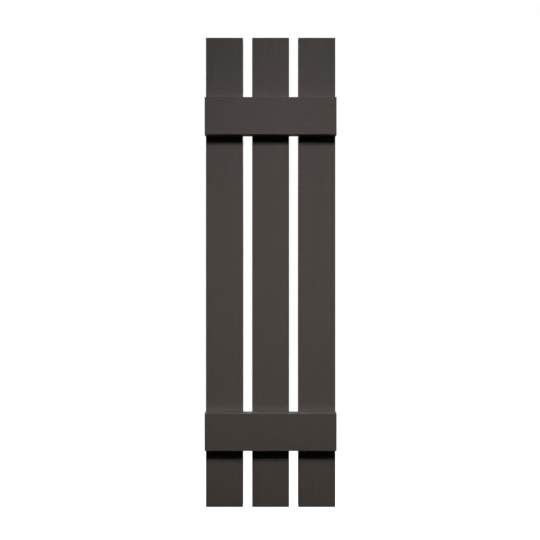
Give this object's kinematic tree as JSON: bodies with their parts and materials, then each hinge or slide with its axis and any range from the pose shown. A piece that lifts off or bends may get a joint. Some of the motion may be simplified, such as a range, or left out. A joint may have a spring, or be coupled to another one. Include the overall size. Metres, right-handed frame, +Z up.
{
  "type": "open board and batten shutter",
  "caption": "Tall exterior shutter of upright boards with open gaps between them, held by battens across their faces; fixes flat to a wall beside a window.",
  "frame": {"origin": "on the wall plane, at the middle of the middle board's back and at half the shutter's height", "axes": "+X to the right seen from the front, +Y back into the wall, +Z up along the boards"},
  "size_m": [0.3032, 0.032, 1.0922],
  "materials": {
    "board_plastic": "matte moulded copolymer, dark warm grey, fine upright wood grain",
    "batten_plastic": "matte moulded copolymer, dark warm grey, fine level wood grain",
    "screw_steel": "bright zinc-plated steel, on the batten screws that the visual model adds behind the boards"
  },
  "bodies": {
    "root": {"left_board": "board_plastic", "middle_board": "board_plastic", "right_board": "board_plastic", "top_batten": "batten_plastic", "bottom_batten": "batten_plastic"}
  },
  "joints": []
}
